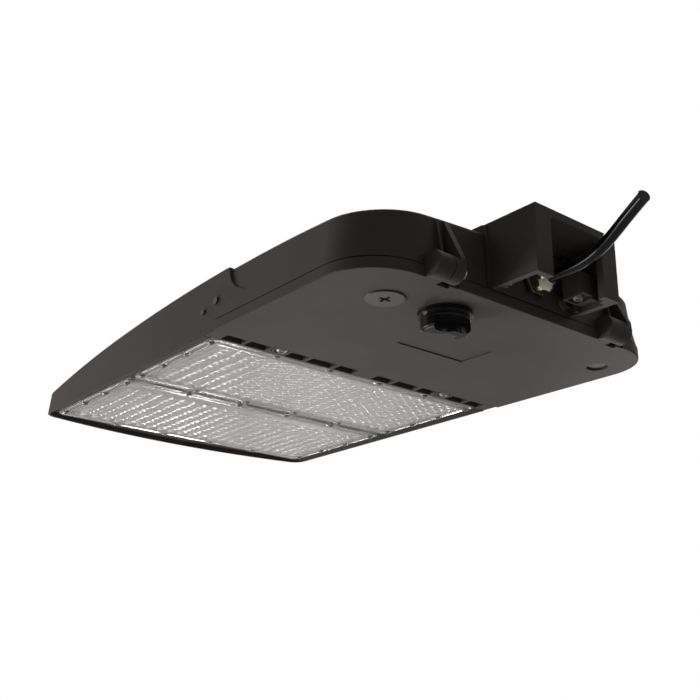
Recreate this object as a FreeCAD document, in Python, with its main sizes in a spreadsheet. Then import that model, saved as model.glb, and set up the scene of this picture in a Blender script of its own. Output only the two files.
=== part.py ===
import FreeCAD, Part
import math
import os
import Sketcher

# Shoebox area light, millimetres.
# Working datum of every size below: x = 0 on the middle plane, y = 0 at the front edge of the
# door, z = 0 on the underside of the door, nose towards -y, pole towards +y, +z up.
# The part's own origin is on the pole face of the arm, so every piece is shifted by ORIGIN.

doc = FreeCAD.newDocument("area_light")
sheet = doc.addObject("Spreadsheet::Sheet", "Sizes")

SIZES = {
    # door of the driver compartment
    "door_width": 318, "door_length": 181, "door_corner": 45, "door_skin": 2.5,
    "door_rim_height": 8.3, "door_rim_wall": 3, "door_edge_round": 0.8, "seam_gap": 1,
    "seal_inset": 7.5, "seal_width": 4.5, "seal_height": 2.8, "seal_play": 0.3,
    "label_width": 72, "label_length": 35, "label_middle": -1, "label_front": 72, "label_depth": 0.9,
    # body of the housing
    "frame_width": 314.4, "frame_draft": 4, "nose_reach": 331.4, "nose_bow": 17.5, "nose_corner": 15,
    "nose_height": 13, "brow_height": 43.2, "brow_place": 151, "side_height": 51.4,
    "swoosh_start": 9.5, "swoosh_knee_y": 24, "swoosh_knee_z": 29.5, "swoosh_end_y": 100,
    "swoosh_end_z": 16.5, "swoosh_upper_arc": 32, "swoosh_lower_arc": 150, "nose_arc": 1200,
    "crest_arc": 1900,
    "rear_height": 49.6, "rear_lean": 8.2, "rear_set": 5, "rear_corner_top": 46, "crown_height": 60.2,
    "roof_fall": 7, "fall_start": 40, "rear_face_set": 1.6, "roof_round": 3, "arm_round": 1.5,
    "compartment_wall": 13, "compartment_ceiling": 48, "compartment_corner": 33,
    "rear_ceiling": 43, "ceiling_step": 104,
    "base_bottom": 8.6, "base_top": 13, "fin_count": 22, "fin_gap": 10, "fin_pitch": 12.8,
    "fin_nose_wall": 12, "spine_length": 56,
    # lens bay
    "bay_rim": 2, "bay_rear": 15.2, "bay_depth": 4.6, "bar_recess": 0.6, "bar_gap": 0.8,
    "lens_width": 294.4, "lens_rear_back": 17.6, "lens_rear_front": 151.4, "lens_front_back": 157,
    "lens_front_front": 306.4, "lens_corner": 7, "lens_face": 1.2, "lens_flange": 2.2,
    "lens_field_rise": 0.9, "lens_field_inset": 8, "lens_roof": 5.4, "wire_pad": 33,
    "gasket_width": 5.2, "gasket_inset": 2, "board_margin": 9.4, "board_play": 0.8, "board_thickness": 1.6,
    "chip_size": 3, "chip_height": 0.6,
    "optic_columns": 22, "optic_rows": 12, "optic_pitch_x": 12.2, "optic_pitch_y": 8.75,
    "vent_length": 11, "vent_middle": 8.2,
    # arm and pole face
    "arm_width": 90, "arm_top": 60.5, "arm_bottom": 8.5, "arm_length": 48.8, "arm_wall": 5,
    "arm_rim": 6, "arm_flange": 17, "arm_flange_thickness": 5.5, "arm_base": 5.5,
    "arm_foot": 1.2, "arm_foot_length": 3.4, "mouth_round": 4,
    "arm_gasket": 1.5, "arm_bolt_x": 33, "arm_bolt_low": 18, "arm_bolt_high": 47,
    "earth_x": -27, "bracket_hole_x": 22, "bracket_hole_set": 24, "bracket_hole_radius": 4.5,
    # hinges
    "hinge_set": 5, "hinge_height": 8.9, "knuckle_radius": 9.5, "knuckle_width": 14.3,
    "lug_width": 9.7, "hinge_gap": 0.6, "gusset_width": 5.4, "web_width": 2,
    "hinge_near": 93, "hinge_far": -91, "pin_radius": 4, "pin_play": 0.05, "pin_tail": 6,
    "clip_radius": 5.6, "hinge_clear": 0.7,
    # captive screws
    "captive_x": 91.5, "captive_y": 4.2, "ear_radius": 8, "ear_thickness": 4,
    "captive_shank": 2.5, "captive_head": 4.6, "captive_end": 24, "captive_travel": 8,
    # fittings in the door
    "cap_x": 51.5, "cap_y": 142.5, "cap_radius": 18.3, "cap_flange_radius": 20.3,
    "cap_drop": 15.5, "cap_flange_height": 3.2, "cap_wall": 2.6, "collar_radius": 13.5,
    "plug_x": 103.5, "plug_y": 135.5, "plug_radius": 15, "plug_shank": 11.8, "plug_proud": 1.2,
    "breather_x": -131.5, "breather_y": 137.5, "breather_radius": 7.8, "fit_play": 0.2,
    "free_gap": 0.3,
    # gland and cable
    "gland_height": 25.2, "gland_boss_radius": 12.5, "gland_boss_proud": 6, "gland_thread": 8,
    "gland_flats": 20, "cable_diameter": 9,
}

for row, (alias, value) in enumerate(SIZES.items(), start=1):
    sheet.set(f"A{row}", alias)
    sheet.set(f"B{row}", str(value))
    sheet.setAlias(f"B{row}", alias)
doc.recompute()

# Texts that several pieces share: places that follow from the sizes above.
ORIGIN = {"x": "0", "y": "door_length - rear_set + arm_length", "z": "arm_top - arm_rim / 2"}
REAR_WALL = "(door_length - rear_set)"
REAR_FACE = "(door_length - rear_face_set)"
ARM_START = "(door_length - rear_set + arm_gasket)"
ARM_END = "(door_length - rear_set + arm_length)"
HINGE_Y = "(door_length + hinge_set)"
SEAM = "(door_rim_height + seam_gap)"
LENS_TOP = "(lens_face + lens_flange)"
GLAND_END = "(door_length - rear_set + gland_boss_proud)"


def words(text):
    """Split an expression into words and the signs between them."""
    parts, word = [], ""
    for sign in text:
        if sign.isalnum() or sign in "_.":
            word += sign
        else:
            parts += [word, sign]
            word = ""
    return [part for part in parts + [word] if part]


def bound(text):
    """The same expression, with each size read from the sheet."""
    return "".join("Sizes." + part if part in SIZES else part for part in words(str(text)))


def size(text):
    """The present value of an expression."""
    return float(sheet.evalExpression(str(text)))


def bind(thing, prop, text):
    thing.setExpression(prop, bound(text))


def shifted(axis, text):
    """A place on the working datum, as a place from the part's origin."""
    return f"({text}) - ({ORIGIN[axis]})"


def place(thing, x="0", y="0", z="0"):
    for axis, text in zip("xyz", (x, y, z)):
        bind(thing, f"Placement.Base.{axis}", shifted(axis, text))


# ---------------------------------------------------------------- shape helpers

def block(name, x, y, z):
    """A box from three (low, high) pairs."""
    made = doc.addObject("Part::Box", name)
    for side, (low, high) in zip(("Length", "Width", "Height"), (x, y, z)):
        bind(made, side, f"({high}) - ({low})")
    place(made, x[0], y[0], z[0])
    return made


TURNS = {
    "x": FreeCAD.Rotation(FreeCAD.Vector(0, 1, 0), 90),
    "y": FreeCAD.Rotation(FreeCAD.Vector(1, 0, 0), -90),
    "z": FreeCAD.Rotation(),
}


def rod(name, axis, centre, radius, low, high, sides=0):
    """A round or many-sided bar along an axis; centre gives the two other places in x, y, z order."""
    made = doc.addObject("Part::Prism" if sides else "Part::Cylinder", name)
    if sides:
        made.Polygon = sides
    bind(made, "Circumradius" if sides else "Radius", radius)
    bind(made, "Height", f"({high}) - ({low})")
    made.Placement.Rotation = TURNS[axis]
    spots = dict(zip("xyz".replace(axis, ""), centre))
    spots[axis] = low
    place(made, spots["x"], spots["y"], spots["z"])
    return made


def join(name, pieces):
    made = doc.addObject("Part::MultiFuse", name)
    made.Shapes = pieces
    return made


def cut(name, base, tools, refine=True):
    made = doc.addObject("Part::Cut", name)
    made.Refine = refine
    made.Base = base
    made.Tool = tools[0] if len(tools) == 1 else join(name + "_tools", tools)
    return made


def group(name, pieces):
    """Separate equal pieces that share one node."""
    made = doc.addObject("Part::Compound", name)
    made.Links = pieces
    return made


def body(name):
    made = doc.addObject("PartDesign::Body", name)
    place(made)
    return made


def plane_of(owner, role):
    return next(item for item in owner.Origin.OriginFeatures if item.Role == role)


def sketch(owner, role, offset="0"):
    made = owner.newObject("Sketcher::SketchObject", owner.Name + "_sketch")
    made.AttachmentSupport = [(plane_of(owner, role), "")]
    made.MapMode = "FlatFace"
    bind(made, "AttachmentOffset.Base.z", offset)
    return made


def fix(owner, kind, where, text):
    """One sketch distance from the sketch's own origin."""
    number = owner.addConstraint(Sketcher.Constraint(kind, -1, 1, *where, size(text)))
    bind(owner, f"Constraints[{number}]", text)


def closed_line(owner, points, arcs=None):
    """A closed outline through (across, up) points; arcs maps a side's number to (radius, bulge)."""
    arcs = arcs or {}
    spots = [FreeCAD.Vector(size(across), size(up), 0) for across, up in points]
    first = owner.GeometryCount
    ends = []
    for number, start in enumerate(spots):
        end = spots[(number + 1) % len(spots)]
        if number in arcs:
            radius, bulge = arcs[number]
            ends.append(arc_side(owner, start, end, size(radius), bulge))
        else:
            owner.addGeometry(Part.LineSegment(start, end), False)
            ends.append((1, 2))
    for number in range(len(spots)):
        after = (number + 1) % len(spots)
        owner.addConstraint(Sketcher.Constraint(
            "Coincident", first + number, ends[number][1], first + after, ends[after][0]))
    for number, (across, up) in enumerate(points):
        fix(owner, "DistanceX", (first + number, ends[number][0]), across)
        fix(owner, "DistanceY", (first + number, ends[number][0]), up)
    for number, (radius, bulge) in arcs.items():
        mark = owner.addConstraint(Sketcher.Constraint("Radius", first + number, size(radius)))
        bind(owner, f"Constraints[{mark}]", radius)
    return first


def arc_side(owner, start, end, radius, bulge):
    """An arc between two points that bulges left (1) or right (-1) of the way from start to end."""
    chord = end - start
    half = chord.Length / 2
    left = FreeCAD.Vector(-chord.y, chord.x, 0).normalize()
    rise = radius - math.sqrt(radius ** 2 - half ** 2)
    middle = (start + end) * 0.5 + left * (bulge * rise)
    forwards = bulge < 0
    ends = (start, end) if forwards else (end, start)
    owner.addGeometry(Part.Arc(ends[0], middle, ends[1]), False)
    return (1, 2) if forwards else (2, 1)


def pad(owner, drawing, height, symmetric=False, backwards=False, draft=None):
    made = owner.newObject("PartDesign::Pad", owner.Name + "_pad")
    made.Profile = drawing
    bind(made, "Length", height)
    made.Reversed = backwards
    if symmetric:
        made.SideType = "Symmetric"
    if draft:
        bind(made, "TaperAngle", f"-1 * ({draft})")
    drawing.Visibility = False
    return made


def round_edges(owner, picked, radius):
    """Round the edges of the body's tip that a test picks out."""
    doc.recompute()
    tip = owner.Tip
    names = [f"Edge{n}" for n, edge in enumerate(tip.Shape.Edges, start=1) if picked(edge)]
    made = owner.newObject("PartDesign::Fillet", owner.Name + "_round")
    made.Base = (tip, names)
    bind(made, "Radius", radius)
    return made


def upright(edge):
    low, high = edge.Vertexes[0].Point, edge.Vertexes[-1].Point
    return abs(low.x - high.x) + abs(low.y - high.y) < 1e-4 < abs(low.z - high.z)


def plate(name, x, y, z, corner=None):
    """A flat body with rounded upright corners, from three (low, high) pairs."""
    made = body(name)
    drawing = sketch(made, "XY_Plane", z[0])
    closed_line(drawing, [(x[0], y[0]), (x[1], y[0]), (x[1], y[1]), (x[0], y[1])])
    pad(made, drawing, f"({z[1]}) - ({z[0]})")
    if corner:
        round_edges(made, upright, corner)
    return made


def turned(name, x, y, profile):
    """A turned body on an upright axis at x, y; profile is (radius, height) points."""
    made = body(name)
    place(made, x, y)
    drawing = sketch(made, "XZ_Plane")
    closed_line(drawing, profile)
    spun = made.newObject("PartDesign::Revolution", name + "_turn")
    spun.Profile = drawing
    spun.ReferenceAxis = (drawing, ["V_Axis"])
    spun.Angle = 360
    drawing.Visibility = False
    return made


def lying(made, x, y, z, axis):
    """Lay a turned body along an axis, its own base at x, y, z."""
    made.Placement.Rotation = TURNS[axis]
    place(made, x, y, z)
    return made


NODES = []


def node(made, name):
    made.Label = name
    NODES.append(made)
    return made


# ---------------------------------------------------------------- outlines that pieces share

HALF_DOOR = "door_width / 2"


def door_shape(name, inset, low, high):
    """A prism on the door's outline: square in front, round corners at the rear."""
    made = body(name)
    drawing = sketch(made, "XY_Plane", low)
    wide = f"({HALF_DOOR}) - ({inset})"
    back = f"door_length - ({inset})"
    bend = f"door_corner - ({inset})"
    points = [
        (f"-1 * ({wide})", inset), (wide, inset),
        (wide, f"{back} - ({bend})"), (f"{wide} - ({bend})", back),
        (f"-1 * ({wide} - ({bend}))", back), (f"-1 * ({wide})", f"{back} - ({bend})"),
    ]
    closed_line(drawing, points, {2: (bend, -1), 4: (bend, -1)})
    pad(made, drawing, f"({high}) - ({low})")
    return made


# ---------------------------------------------------------------- housing

def side_profile():
    """The blade side of the housing, drawn from the side and drawn out over the full width."""
    made = body("blade")
    drawing = sketch(made, "YZ_Plane")
    nose = "-1 * nose_reach - 2"
    points = [
        (nose, "0"), (nose, "nose_height"), ("-1 * brow_place", "brow_height"),
        ("0", "side_height"), ("swoosh_start", "side_height"),
        ("swoosh_knee_y", "swoosh_knee_z"), ("swoosh_end_y", "swoosh_end_z"),
        ("swoosh_end_y + 12", SEAM), ("-1 * bar_gap", SEAM), ("-1 * bar_gap", "0"),
    ]
    arcs = {1: ("nose_arc", 1), 2: ("crest_arc", 1), 4: ("swoosh_upper_arc", -1), 5: ("swoosh_lower_arc", -1)}
    closed_line(drawing, points, arcs)
    pad(made, drawing, "frame_width + 20", symmetric=True)
    return made


def nose_outline(name, inset, low, high, draft=None, length="120"):
    """A prism on the outline of the front part: straight sides and a bowed nose."""
    made = body(name)
    drawing = sketch(made, "XY_Plane", low)
    wide = f"(frame_width / 2 - ({inset}))"
    corner = f"(-1 * (nose_reach - nose_bow - ({inset})))"
    bow = f"(({wide} * {wide} + nose_bow * nose_bow) / (2 * nose_bow))"
    points = [
        (f"-1 * {wide}", corner), (wide, corner), (wide, length), (f"-1 * {wide}", length),
    ]
    closed_line(drawing, points, {0: (bow, -1)})
    pad(made, drawing, f"({high}) - ({low})", draft=draft)
    nose = size(corner) + 5
    round_edges(made, lambda edge: climbing(edge) and edge.CenterOfMass.y < nose, f"nose_corner - ({inset})")
    return made


def climbing(edge):
    """An edge that climbs from the bottom of a prism to its top."""
    box = edge.BoundBox
    return box.ZLength > 5 and box.YLength < box.ZLength


def rear_section(name, inset, back, corner, height):
    """One level of the rear part's outline."""
    made = doc.addObject("Sketcher::SketchObject", name)
    wide = f"(door_width / 2 - ({inset}))"
    points = [
        (f"-1 * {wide}", "bar_gap"), (wide, "bar_gap"),
        (wide, f"({back}) - ({corner})"), (f"{wide} - ({corner})", back),
        (f"-1 * ({wide} - ({corner}))", back), (f"-1 * {wide}", f"({back}) - ({corner})"),
    ]
    closed_line(made, points, {2: (corner, -1), 4: (corner, -1)})
    place(made, z=height)
    made.Visibility = False
    return made


def rear_shell(name, inset, top):
    """The leaning rear part, flared to the door at its foot."""
    back = f"door_length - ({inset})"
    levels = [
        rear_section(name + "_foot", inset, f"{back} - rear_face_set / 2", f"door_corner - ({inset})", SEAM),
        rear_section(name + "_waist", f"rear_lean * 0.4 + ({inset})", f"{back} - rear_face_set",
                     f"(door_corner + rear_corner_top) / 2 - ({inset})", "22"),
        rear_section(name + "_head", f"rear_lean + ({inset})", f"{back} - rear_face_set * 1.5",
                     f"rear_corner_top - ({inset})", top),
    ]
    made = doc.addObject("Part::Loft", name)
    made.Sections = levels
    made.Solid = True
    return made


def crown():
    """Everything under the roof of the rear part, which arches across and falls towards the pole."""
    made = body("crown")
    wide = "door_width / 2"
    rise = "(crown_height - rear_height)"
    arch = f"(({wide}) * ({wide}) + {rise} * {rise}) / (2 * {rise})"
    drawings = []
    for share in (-1, 0, 0.35, 0.7, 1.05):
        back = f"fall_start + (door_length - fall_start) * {share}"
        rim = f"rear_height - roof_fall * {max(share, 0) ** 2}"
        drawing = sketch(made, "XZ_Plane", f"-1 * ({back})")
        closed_line(drawing, [(f"-1 * {wide}", "0"), (wide, "0"), (wide, rim), (f"-1 * {wide}", rim)],
                    {2: (arch, -1)})
        drawing.Visibility = False
        drawings.append(drawing)
    drawn = made.newObject("PartDesign::AdditiveLoft", "crown_loft")
    drawn.Profile = drawings[0]
    drawn.Sections = drawings[1:]
    return made


def common(name, first, second):
    made = doc.addObject("Part::Common", name)
    made.Base = first
    made.Tool = second
    return made


def fin_gaps():
    """The row of open channels between the cooling fins."""
    made = body("fin_gaps")
    drawing = sketch(made, "XY_Plane", "base_top")
    left = "(-1 * (fin_count - 1) * fin_pitch / 2 - fin_gap / 2)"
    front = "-1 * (nose_reach - nose_bow - fin_nose_wall)"
    closed_line(drawing, [(left, front), (f"{left} + fin_gap", front),
                          (f"{left} + fin_gap", "-1 * bar_gap"), (left, "-1 * bar_gap")])
    first = pad(made, drawing, "60")
    doc.recompute()
    row = made.newObject("PartDesign::LinearPattern", "fin_gap_row")
    row.Originals = [first]
    row.Direction = (drawing, ["H_Axis"])
    bind(row, "Length", "(fin_count - 1) * fin_pitch")
    bind(row, "Occurrences", "fin_count")
    made.Tip = row
    return made


VENTS = [(11, 31), (35, 60), (64, 82), (102, 122), (125, 144)]
SIDES = (-1, 1)


def hinge_places():
    """Each hinge's parting plane, from the near one to the far one."""
    return [("near", "hinge_near"), ("far", "hinge_far")]


def hinge_lugs():
    pieces = []
    for name, parting in hinge_places():
        outer = f"{parting} - hinge_gap / 2"
        inner = f"{outer} - lug_width"
        pieces.append(rod(f"lug_{name}", "x", (HINGE_Y, "hinge_height"), "knuckle_radius", inner, outer))
        pieces.append(block(f"lug_arm_{name}", (inner, outer), (f"{REAR_WALL} - 4", HINGE_Y),
                            ("hinge_height + 1", "hinge_height + knuckle_radius")))
        pieces.append(gusset(f"gusset_{name}", inner, "gusset_width", GUSSET_LINE))
        pieces.append(gusset(f"web_{name}", f"{parting} + hinge_gap", "web_width", WEB_LINE))
    return pieces


# The slanting rear edge of each hinge web, from its foot to its top, as (y, z).
GUSSET_LINE = [(f"{HINGE_Y} + knuckle_radius - 0.1", "hinge_height + 1.5"),
               (f"{HINGE_Y} + knuckle_radius - 0.6", "hinge_height + 7"), (REAR_FACE, "rear_height - 1.5")]
WEB_LINE = [(f"{REAR_FACE} + 5.6", "hinge_height + knuckle_radius + hinge_clear + 0.6"),
            (REAR_FACE, "rear_height - 2.5")]


def gusset(name, low, width, line):
    """A slanting web from the top of the rear wall down to the hinge."""
    made = body(name)
    drawing = sketch(made, "YZ_Plane", low)
    wall = f"{REAR_WALL} - 6"
    closed_line(drawing, [(wall, line[0][1])] + line + [(wall, line[-1][1])])
    pad(made, drawing, width)
    return made


def softened(name, base, radius):
    """Round the rim where the rear part's walls meet its roof."""
    doc.recompute()
    made = doc.addObject("Part::Fillet", name)
    made.Base = base
    floor = size(shifted("z", "rear_height - roof_fall - 10"))
    front = size(shifted("y", "bar_gap")) + 0.5
    picked = [number for number, edge in enumerate(base.Shape.Edges, start=1)
              if edge.BoundBox.ZMin > floor and edge.CenterOfMass.y > front]
    made.Edges = [(number, size(radius), size(radius)) for number in picked]
    return made


def spine():
    """The raised back that carries the arm's line forward over the roof."""
    made = body("spine")
    drawing = sketch(made, "YZ_Plane")
    start = f"{REAR_WALL} - spine_length"
    closed_line(drawing, [(start, "compartment_ceiling + 2"), (REAR_WALL, "compartment_ceiling + 2"),
                          (REAR_WALL, "arm_top"), (f"{start} + 22", "arm_top"), (start, "crown_height - 6")])
    pad(made, drawing, "arm_width", symmetric=True)
    return made


def housing():
    outline = nose_outline("front_outline", "0", "0", "60", draft="frame_draft", length="swoosh_end_y + 13")
    front = common("front_part", side_profile(), outline)
    rear = common("rear_part", rear_shell("rear_shell", "0", "crown_height + 1"), crown())
    solid = join("housing_solid", [front, softened("rear_soft", rear, "roof_round"), spine()])

    room = ("-1 * (door_width / 2 - compartment_wall)", "door_width / 2 - compartment_wall")
    hollow = plate("compartment", room, ("compartment_wall - 2", f"{REAR_WALL} - 7"), ("0", "rear_ceiling"),
                   "compartment_corner")
    high_hollow = plate("driver_bay", room, ("compartment_wall - 2", "ceiling_step"),
                        ("rear_ceiling - 10", "compartment_ceiling"), "6")
    bay = nose_outline("bay", "bay_rim", "-2", "bay_depth", length="-1 * bay_rear")
    tools = [hollow, high_hollow, fin_gaps(), bay]
    board_half = "(lens_width / 2 - board_margin + board_play)"
    for name, back, front_edge in lens_rows():
        tools.append(block(f"board_bay_{name}", (f"-1 * {board_half}", board_half),
                           (f"-1 * {front_edge} + board_margin - board_play",
                            f"-1 * {back} - board_margin + board_play"),
                           ("0", "base_bottom")))
    tools.append(block("bar_face", ("-1 * frame_width / 2 - 2", "frame_width / 2 + 2"),
                       ("-1 * bay_rear - 1", "1"), ("-2", "bar_recess")))
    seat = "(arm_width / 2 + arm_foot + 0.8)"
    tools.append(block("arm_seat", (f"-1 * {seat}", seat), (REAR_WALL, f"{REAR_WALL} + 20"),
                       ("0", "arm_top + 5")))
    for side in SIDES:
        for low, high in VENTS:
            ends = sorted((side * low, side * high))
            tools.append(block(f"vent_{side}_{low}".replace("-", "m"), (ends[0], ends[1]),
                               ("-1 * (vent_middle + vent_length / 2)",
                                "-1 * (vent_middle - vent_length / 2)"),
                               ("-2", "base_top + 2")))
    for name, parting in hinge_places():
        tools.append(rod(f"knuckle_room_{name}", "x", (HINGE_Y, "hinge_height"),
                         "knuckle_radius + hinge_clear", f"{parting} - hinge_gap / 2",
                         f"{parting} + knuckle_width + hinge_gap"))
    hollowed = cut("housing_hollowed", solid, tools)

    added = hinge_lugs()
    added.append(rod("gland_boss", "y", ("0", "gland_height"), "gland_boss_radius",
                     f"{REAR_WALL} - 8", GLAND_END))
    for side in SIDES:
        added.append(rod(f"screw_boss_{side}".replace("-", "m"), "z",
                         (f"{side} * captive_x", "-1 * captive_y"), "ear_radius",
                         "ear_thickness + 1.4", "captive_end + 3"))
    whole = join("housing_whole", [hollowed] + added)

    holes = [rod("gland_hole", "y", ("0", "gland_height"), "gland_thread + fit_play / 2",
                 f"{REAR_WALL} - 10", f"{GLAND_END} + 5")]
    for side in SIDES:
        mark = str(side).replace("-", "m")
        spot = (f"{side} * captive_x", "-1 * captive_y")
        holes.append(rod(f"ear_room_{mark}", "z", spot, "ear_radius + 0.6", "-2", "ear_thickness + 1.4"))
        holes.append(block(f"ear_root_room_{mark}",
                           (f"{spot[0]} - ear_radius - 0.6", f"{spot[0]} + ear_radius + 0.6"),
                           (spot[1], "bar_gap + 1"), ("-2", "ear_thickness + 1.4")))
        holes.append(block(f"rim_room_{mark}", (f"{spot[0]} - ear_radius - 1", f"{spot[0]} + ear_radius + 1"),
                           ("-1 * bar_gap", "door_rim_wall + 3"), ("-2", SEAM)))
        holes.append(rod(f"ring_room_{mark}", "z", spot, "captive_shank + 2", "0",
                         "ear_thickness + captive_travel + 2.4"))
        holes.append(rod(f"thread_room_{mark}", "z", spot, "captive_shank + 0.75", "0", "captive_end + 1.5"))
        for level in ("arm_bolt_low", "arm_bolt_high"):
            holes.append(rod(f"arm_thread_{mark}_{level}", "y", (f"{side} * arm_bolt_x", level),
                             "3 + fit_play / 2", f"{REAR_WALL} - 9", f"{REAR_WALL} + 2"))
        for number, (y, z, radius) in enumerate(SHIELD_SCREWS):
            holes.append(rod(f"shield_hole_{mark}_{number}", "x", (y, z), radius / 2,
                             f"{side} * frame_width / 2 - 7", f"{side} * frame_width / 2 + 7"))
    for name, parting in hinge_places():
        holes.append(rod(f"pin_hole_{name}", "x", (HINGE_Y, "hinge_height"), "pin_radius",
                         f"{parting} - hinge_gap - lug_width - 5", parting))
    for x in DRIVER_SCREW_X:
        holes.append(rod(f"driver_thread_{x}".replace("-", "m"), "z", (str(x), DRIVER_SCREW_Y), "2.1",
                         "compartment_ceiling - 1", "compartment_ceiling + 3"))
    for name, back, front_edge in lens_rows():
        for x, y in lens_screw_places(back, front_edge):
            holes.append(rod(f"lens_thread_{name}_{len(holes)}", "z", (x, y), "1.5", "bay_depth - 1",
                             "base_top - 1"))
        for x, y in board_screw_places(name):
            holes.append(rod(f"board_thread_{name}_{len(holes)}", "z", (x, y), "1.5", "base_bottom - 1",
                             "base_top - 1"))
    return node(cut("housing", whole, holes, refine=False), "housing")


# ---------------------------------------------------------------- lens bay

SHIELD_SCREWS = [("-4", "26.7", 4), ("-21.5", "22", 3)]
DRIVER_SCREW_X = (-132, 32)
DRIVER_SCREW_Y = "57"


def lens_rows():
    """Each lens panel with its rear and front edge, as distances ahead of the door."""
    return [("rear", "lens_rear_back", "lens_rear_front"), ("front", "lens_front_back", "lens_front_front")]


def lens_screw_places(back, front_edge):
    """Screws along the four rims of one panel."""
    inset = 4
    half = f"(lens_width / 2 - {inset})"
    places = []
    for x in (-84, -28, 28, 84):
        places.append((str(x), f"-1 * {back} - {inset}"))
        places.append((str(x), f"-1 * {front_edge} + {inset}"))
    for share in (0.08, 0.36, 0.64, 0.92):
        for side in SIDES:
            places.append((f"{side} * {half}", f"-1 * ({back} + ({front_edge} - {back}) * {share})"))
    return places


BOARD_SCREW_X = (-98, -37, 37, 98)
BOARD_MIDDLE = {"rear": "79.6", "front": "231.6"}


def board_screw_places(name):
    return [(str(x), f"-1 * {BOARD_MIDDLE[name]} + {y}") for x in BOARD_SCREW_X for y in (-34, 24)]


def lens_panel(name, back, front_edge):
    wide = "lens_width / 2"
    y = (f"-1 * {front_edge}", f"-1 * {back}")
    flange = plate(f"flange_{name}", (f"-1 * {wide}", wide), y, ("lens_face", LENS_TOP), "lens_corner")
    inset = "lens_field_inset"
    field = plate(f"field_{name}", (f"-1 * ({wide} - {inset})", f"{wide} - {inset}"),
                  (f"{y[0]} + {inset}", f"{y[1]} - {inset}"),
                  ("lens_face - lens_field_rise", "bay_depth - 0.2"), "lens_corner - 2")
    hollow = plate(f"hollow_{name}", (f"-1 * ({wide} - {inset} - 2.2)", f"{wide} - {inset} - 2.2"),
                   (f"{y[0]} + {inset} + 2.2", f"{y[1]} - {inset} - 2.2"),
                   ("lens_face - lens_field_rise + 2", "lens_roof + 2"), "lens_corner - 4")
    pieces = [flange, field]
    if name == "rear":
        pieces.append(plate("wire_pad", ("6 - wire_pad / 2", "6 + wire_pad / 2"),
                            (f"{y[1]} - 7", f"{y[1]} - 0.6"),
                            ("lens_face - 1.6", LENS_TOP), "2"))
    whole = join(f"lens_whole_{name}", pieces)
    tools = [hollow]
    for number, (x, spot) in enumerate(lens_screw_places(back, front_edge)):
        tools.append(rod(f"lens_hole_{name}_{number}", "z", (x, spot), "1.7", "0", "lens_roof"))
    return node(cut(f"lens_{name}", whole, tools), f"lens_{name}")


def lens_gasket(name, back, front_edge):
    wide = "lens_width / 2 - gasket_inset"
    y = (f"-1 * {front_edge} + gasket_inset", f"-1 * {back} - gasket_inset")
    outer = plate(f"gasket_out_{name}", (f"-1 * ({wide})", wide), y, (LENS_TOP, "bay_depth"),
                  "lens_corner - gasket_inset")
    inner = plate(f"gasket_in_{name}", (f"-1 * ({wide} - gasket_width)", f"{wide} - gasket_width"),
                  (f"{y[0]} + gasket_width", f"{y[1]} - gasket_width"), ("0", "bay_depth + 1"), "2")
    tools = [inner]
    for number, (x, spot) in enumerate(lens_screw_places(back, front_edge)):
        tools.append(rod(f"gasket_hole_{name}_{number}", "z", (x, spot), "1.8", "0", "bay_depth + 1"))
    return node(cut(f"lens_gasket_{name}", outer, tools), f"lens_gasket_{name}")


def optic_places(name):
    """The centre of every LED on one board."""
    columns, rows = int(size("optic_columns")), int(size("optic_rows"))
    pitch_x, pitch_y = size("optic_pitch_x"), size("optic_pitch_y")
    middle = -size(BOARD_MIDDLE[name])
    for column in range(columns):
        for row in range(rows):
            yield (column - (columns - 1) / 2) * pitch_x, middle + (row - (rows - 1) / 2) * pitch_y


def led_board(name, back, front_edge):
    """A board with its LEDs soldered to the underside, cleared round its screws."""
    margin = size("board_margin")
    half = size("lens_width") / 2 - margin
    front, rear = -size(front_edge) + margin, -size(back) - margin
    bottom = size("base_bottom - board_thickness")
    thick, chip, drop = size("board_thickness"), size("chip_size"), size("chip_height")
    corner = FreeCAD.Vector(-half, front, bottom)
    board = Part.makeBox(2 * half, rear - front, thick, corner)
    screws = [(size(x), size(y)) for x, y in board_screw_places(name)]
    drills = [Part.makeCylinder(1.6, thick + 2, FreeCAD.Vector(x, y, bottom - 1)) for x, y in screws]
    board = board.cut(drills)
    chips = []
    for x, y in optic_places(name):
        if min(math.hypot(x - sx, y - sy) for sx, sy in screws) > 3.2 + chip * 0.71:
            chips.append(Part.makeBox(chip, chip, drop,
                                      FreeCAD.Vector(x - chip / 2, y - chip / 2, bottom - drop)))
    made = doc.addObject("Part::Feature", f"led_board_{name}")
    made.Shape = board.fuse(chips)
    place(made)
    return node(made, f"led_board_{name}")


def pan_screw(name, x, y, face, head, head_height, shank, end, downwards=True):
    """A pan-head screw with a cross recess; its head hangs below the face when downwards."""
    made = turned(name, x, y, [
        ("0", f"{face} - {head_height}"), (f"{head} * 0.7", f"{face} - {head_height}"),
        (head, f"{face} - {head_height} * 0.45"), (head, face), (shank, face), (shank, end), ("0", end)])
    return crossed(made, name, x, y, f"{face} - {head_height}", head, head_height)


def crossed(made, name, x, y, tip, head, depth):
    """Cut a cross recess into a screw head at its tip."""
    arm, slot = f"({head} * 0.62)", f"({head} * 0.15)"
    bars = []
    for number, (a, b) in enumerate(((arm, slot), (slot, arm))):
        bars.append(block(f"{name}_bar_{number}", (f"({x}) - {a}", f"({x}) + {a}"),
                          (f"({y}) - {b}", f"({y}) + {b}"), (f"{tip} - 1", f"{tip} + {depth} * 0.7")))
    return cut(f"{name}_crossed", made, bars)


def lens_screws():
    made = []
    for name, back, front_edge in lens_rows():
        for number, (x, y) in enumerate(lens_screw_places(back, front_edge)):
            made.append(pan_screw(f"lens_screw_{name}_{number}", x, y, "lens_face", "2.7", "1.5", "1.4",
                                  "9.5"))
    return node(group("lens_screws", made), "lens_screws")


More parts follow.
